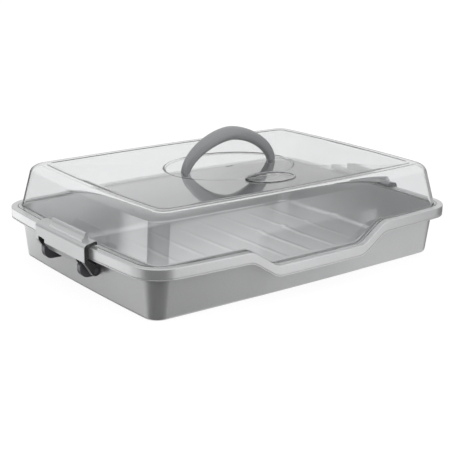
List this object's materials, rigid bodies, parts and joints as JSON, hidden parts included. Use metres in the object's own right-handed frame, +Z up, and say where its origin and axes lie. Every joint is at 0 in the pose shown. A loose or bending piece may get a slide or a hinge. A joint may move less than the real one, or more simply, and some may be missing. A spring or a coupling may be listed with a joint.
{
  "type": "cake carrier",
  "caption": "Rectangular cake carrier: shallow tray with a rolled rim and front grip dip, clear domed lid with an arched handle, and a hinged clip latch at each end.",
  "frame": {"origin": "middle of the tray's underside, on the surface that the carrier stands on", "axes": "+X along the tray's length towards the right-hand latch, +Y towards the back, away from the grip dip, +Z up"},
  "size_m": [0.4604, 0.3286, 0.1536],
  "materials": {
    "tray_plastic": "satin silver-grey moulded plastic with a fine pearl",
    "clear_plastic": "clear, highly polished moulded plastic",
    "handle_plastic": "smooth mid-grey moulded plastic, softly shining",
    "latch_plastic": "satin silver-grey moulded plastic, a little paler than the tray"
  },
  "bodies": {
    "tray": {"base_tray": "tray_plastic"},
    "lid": {"lid_shell": "clear_plastic", "carry_handle": "handle_plastic"},
    "left_latch": {"latch_left": "latch_plastic"},
    "right_latch": {"latch_right": "latch_plastic"}
  },
  "joints": [
    {"name": "lid_lift", "type": "slide", "parent": "tray", "child": "lid", "axis": [0, 0, 1], "range_m": [0, 0.024]},
    {"name": "latch_left_hinge", "type": "hinge", "parent": "tray", "child": "left_latch", "pos_m": [-0.2166, 0, 0.0345], "axis": [0, -1, 0], "range_deg": [0, 130]},
    {"name": "latch_right_hinge", "type": "hinge", "parent": "tray", "child": "right_latch", "pos_m": [0.2166, 0, 0.0345], "axis": [0, 1, 0], "range_deg": [0, 130]}
  ],
  "couplings": [
    {"joint": "latch_left_hinge", "follows": "lid_lift", "rad_per_m": 94.5},
    {"joint": "latch_right_hinge", "follows": "lid_lift", "rad_per_m": 94.5}
  ]
}
